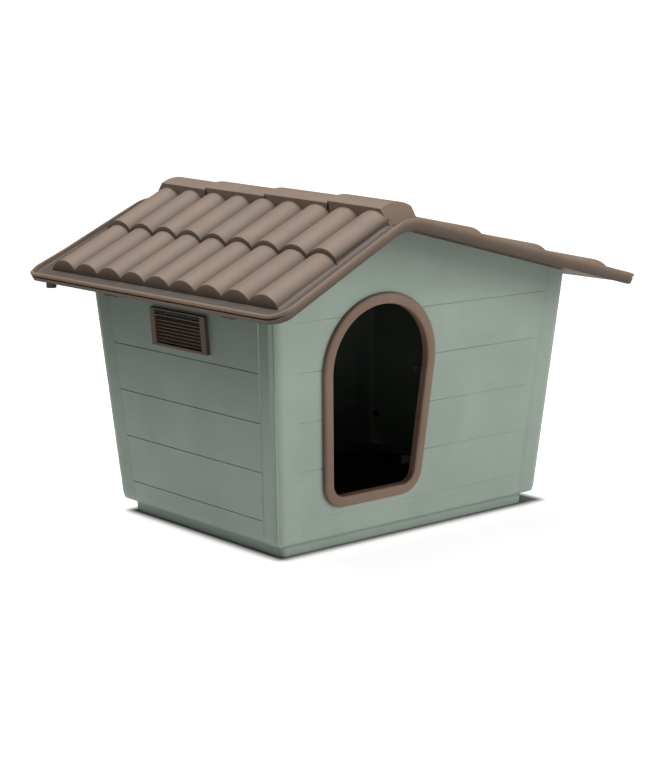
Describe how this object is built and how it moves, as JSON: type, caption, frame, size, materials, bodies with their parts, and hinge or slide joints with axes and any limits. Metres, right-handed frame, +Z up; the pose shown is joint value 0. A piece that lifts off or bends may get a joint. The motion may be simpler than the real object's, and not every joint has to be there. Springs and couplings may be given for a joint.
{
  "type": "pet kennel",
  "caption": "Small moulded plastic pet kennel: four clipped wall panels on a base, arched framed doorway, louvred vents and a lift-off tiled gable roof with turn locks.",
  "frame": {"origin": "on the ground, under the centre of the roof's outline in plan", "axes": "+X to the right of someone facing the doorway, along the length from eave to eave; +Y from the doorway to the back, along the ridge; +Z up"},
  "size_m": [0.59, 0.508, 0.4129],
  "materials": {
    "wall_green": "satin moulded",
    "roof_brown": "satin moulded",
    "trim_brown": "satin moulded",
    "vent_brown": "satin moulded",
    "floor_brown": "matt moulded",
    "fixing_brown": "matt moulded"
  },
  "bodies": {
    "house": {"base_tray": "wall_green", "floor_board": "floor_brown", "front_panel": "wall_green", "rear_panel": "wall_green", "left_panel": "wall_green", "right_panel": "wall_green", "door_frame": "trim_brown", "door_clamp_ring": "fixing_brown", "left_vent_grille": "vent_brown", "right_vent_grille": "vent_brown", "left_vent_retainer": "fixing_brown", "right_vent_retainer": "fixing_brown", "corner_snaps": "fixing_brown", "base_snaps": "fixing_brown"},
    "roof": {"roof_shell": "roof_brown", "drain_spout_left": "fixing_brown", "drain_spout_right": "fixing_brown"},
    "roof_lock_front_left": {"roof_lock_front_left": "fixing_brown"},
    "roof_lock_front_right": {"roof_lock_front_right": "fixing_brown"},
    "roof_lock_rear_left": {"roof_lock_rear_left": "fixing_brown"},
    "roof_lock_rear_right": {"roof_lock_rear_right": "fixing_brown"}
  },
  "joints": [
    {"name": "roof_lift", "type": "slide", "parent": "house", "child": "roof", "axis": [0, 0, 1], "range_m": [0, 0.3]},
    {"name": "lock_turn_front_left", "type": "hinge", "parent": "roof", "child": "roof_lock_front_left", "pos_m": [-0.25275, -0.1235, 0.287], "axis": [0, 0, -1], "range_deg": [0, 90]},
    {"name": "lock_turn_front_right", "type": "hinge", "parent": "roof", "child": "roof_lock_front_right", "pos_m": [0.24325, -0.1235, 0.287], "axis": [0, 0, 1], "range_deg": [0, 90]},
    {"name": "lock_turn_rear_left", "type": "hinge", "parent": "roof", "child": "roof_lock_rear_left", "pos_m": [-0.25275, 0.1235, 0.287], "axis": [0, 0, 1], "range_deg": [0, 90]},
    {"name": "lock_turn_rear_right", "type": "hinge", "parent": "roof", "child": "roof_lock_rear_right", "pos_m": [0.24325, 0.1235, 0.287], "axis": [0, 0, -1], "range_deg": [0, 90]}
  ]
}
